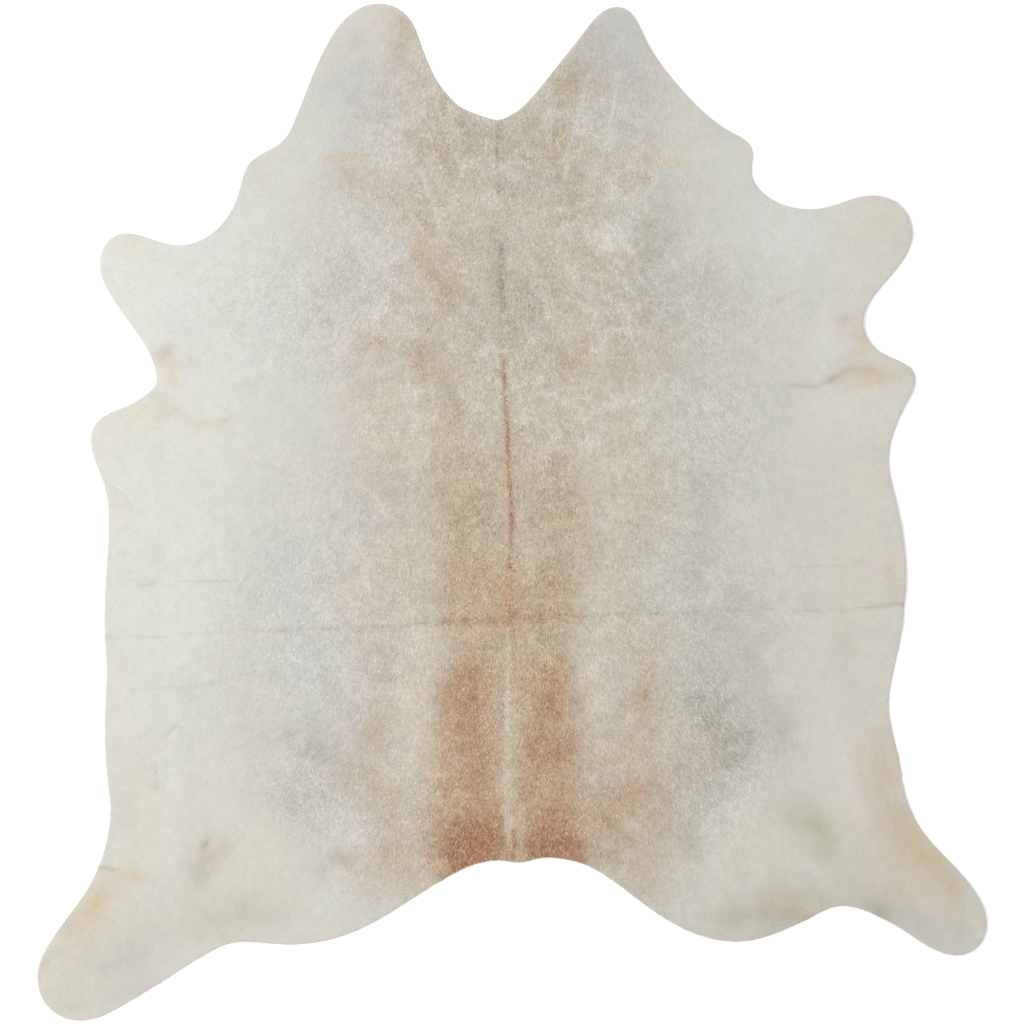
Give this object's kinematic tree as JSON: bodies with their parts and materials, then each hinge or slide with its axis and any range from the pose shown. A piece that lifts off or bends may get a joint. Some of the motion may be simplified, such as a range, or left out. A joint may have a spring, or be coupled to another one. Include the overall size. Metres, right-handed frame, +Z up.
{
  "type": "cowhide rug",
  "caption": "Natural cowhide floor rug: one flat hair-on hide in the outline of the skin, with neck flaps, forelegs and hind legs, pale with a rust back.",
  "frame": {"origin": "on the floor under the middle of the hide's outline", "axes": "+Y towards the neck, +X to the right seen from above with the neck away from the viewer, +Z up through the hair side"},
  "size_m": [2.051, 2.198, 0.0109],
  "materials": {
    "coat": "short hair lying flat, soft sheen"
  },
  "bodies": {
    "root": {"hide": "coat"}
  },
  "joints": []
}
